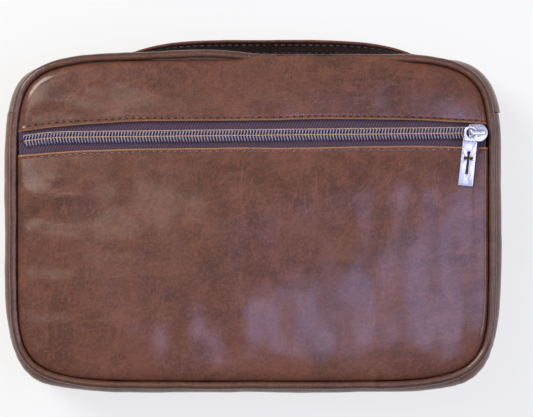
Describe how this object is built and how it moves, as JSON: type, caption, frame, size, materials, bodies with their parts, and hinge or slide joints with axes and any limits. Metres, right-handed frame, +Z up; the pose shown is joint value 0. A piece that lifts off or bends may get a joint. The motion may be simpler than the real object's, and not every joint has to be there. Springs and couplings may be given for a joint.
{
  "type": "zipped bible case",
  "caption": "Zipped leather carrying case with a front pocket, a cross-cut zip pull and a spine handle, holding a Bible.",
  "frame": {"origin": "middle of the back cover's outer face, on the surface the case lies on", "axes": "+X along the spine towards the zip pulls, +Y towards the spine and handle, +Z up through the front cover"},
  "size_m": [0.2601, 0.1859, 0.0576],
  "materials": {
    "brown_leather": "worn waxy artificial leather",
    "piping_leather": "worn waxy artificial leather, darker",
    "dark_leather": "matt dark lining leather",
    "lining_cloth": "matt woven lining",
    "grey_board": "matt grey board",
    "zip_tape": "woven zip tape",
    "zip_coil": "nylon coil",
    "nickel": "bright nickel plate",
    "book_cover": "black bonded leather",
    "paper": "matt cream paper",
    "satin": "woven satin"
  },
  "bodies": {
    "back_half": {"back_panel": "brown_leather", "back_stiffener": "grey_board", "back_lining": "lining_cloth", "back_sleeve": "lining_cloth", "back_piping_welt": "piping_leather", "back_piping_cord": "lining_cloth", "back_gusset_strip": "brown_leather", "main_zip_tape_back": "zip_tape", "main_zip_coil_back": "zip_coil", "bible_back_cover": "book_cover", "text_block": "paper", "ribbon_marker": "satin"},
    "spine": {"spine_panel": "brown_leather", "spine_stiffener": "grey_board", "spine_lining": "lining_cloth", "handle_end_left": "brown_leather", "handle_end_right": "brown_leather", "bible_spine": "book_cover"},
    "front_half": {"front_upper_panel": "brown_leather", "front_pocket_panel": "brown_leather", "pocket_back_panel": "lining_cloth", "front_stiffener": "grey_board", "front_lining": "lining_cloth", "front_sleeve": "lining_cloth", "front_piping_welt": "piping_leather", "front_piping_cord": "lining_cloth", "front_gusset_strip": "brown_leather", "main_zip_tape_front": "zip_tape", "main_zip_coil_front": "zip_coil", "pocket_zip_tape_upper": "zip_tape", "pocket_zip_tape_lower": "zip_tape", "pocket_zip_coil_upper": "zip_coil", "pocket_zip_coil_lower": "zip_coil", "pocket_zip_stop": "nickel", "bible_front_cover": "book_cover"},
    "front_leaves": {"front_leaves": "paper"},
    "handle": {"handle_strap": "brown_leather", "handle_core": "grey_board", "handle_lining": "dark_leather"},
    "pocket_slider": {"pocket_slider": "nickel"},
    "pocket_pull": {"pocket_pull_tab": "nickel"},
    "main_slider": {"main_slider": "nickel"},
    "main_pull": {"main_pull_tab": "nickel"}
  },
  "joints": [
    {"name": "spine_fold", "type": "hinge", "parent": "back_half", "child": "spine", "pos_m": [0, 0.0854, 0.0056], "axis": [-1, 0, 0], "range_deg": [0, 79]},
    {"name": "front_fold", "type": "hinge", "parent": "spine", "child": "front_half", "pos_m": [0, 0.0854, 0.0473], "axis": [-1, 0, 0], "range_deg": [0, 105]},
    {"name": "leaves_turn", "type": "hinge", "parent": "back_half", "child": "front_leaves", "pos_m": [0, 0.076, 0.032], "axis": [-1, 0, 0], "range_deg": [0, 180]},
    {"name": "handle_swing", "type": "hinge", "parent": "spine", "child": "handle", "pos_m": [0.009, 0.0861, 0.02645], "axis": [1, 0, 0], "range_deg": [0, 34]},
    {"name": "pocket_zip_run", "type": "slide", "parent": "front_half", "child": "pocket_slider", "axis": [-0.9999, -0.0105, 0], "range_m": [0, 0.222]},
    {"name": "pocket_pull_swing", "type": "hinge", "parent": "pocket_slider", "child": "pocket_pull", "pos_m": [0.11339, 0.04589, 0.05515], "axis": [0, 0, -1], "range_deg": [0, 168]},
    {"name": "main_zip_run", "type": "slide", "parent": "back_half", "child": "main_slider", "axis": [0, -1, 0], "range_m": [0, 0.08]},
    {"name": "main_pull_flip", "type": "hinge", "parent": "main_slider", "child": "main_pull", "pos_m": [0.12775, 0.04335, 0.02645], "axis": [0, 0, 1], "range_deg": [0, 110]}
  ],
  "couplings": [
    {"joint": "spine_fold", "follows": "front_fold", "ratio": 0.745},
    {"joint": "leaves_turn", "follows": "front_fold", "ratio": 1.71}
  ]
}
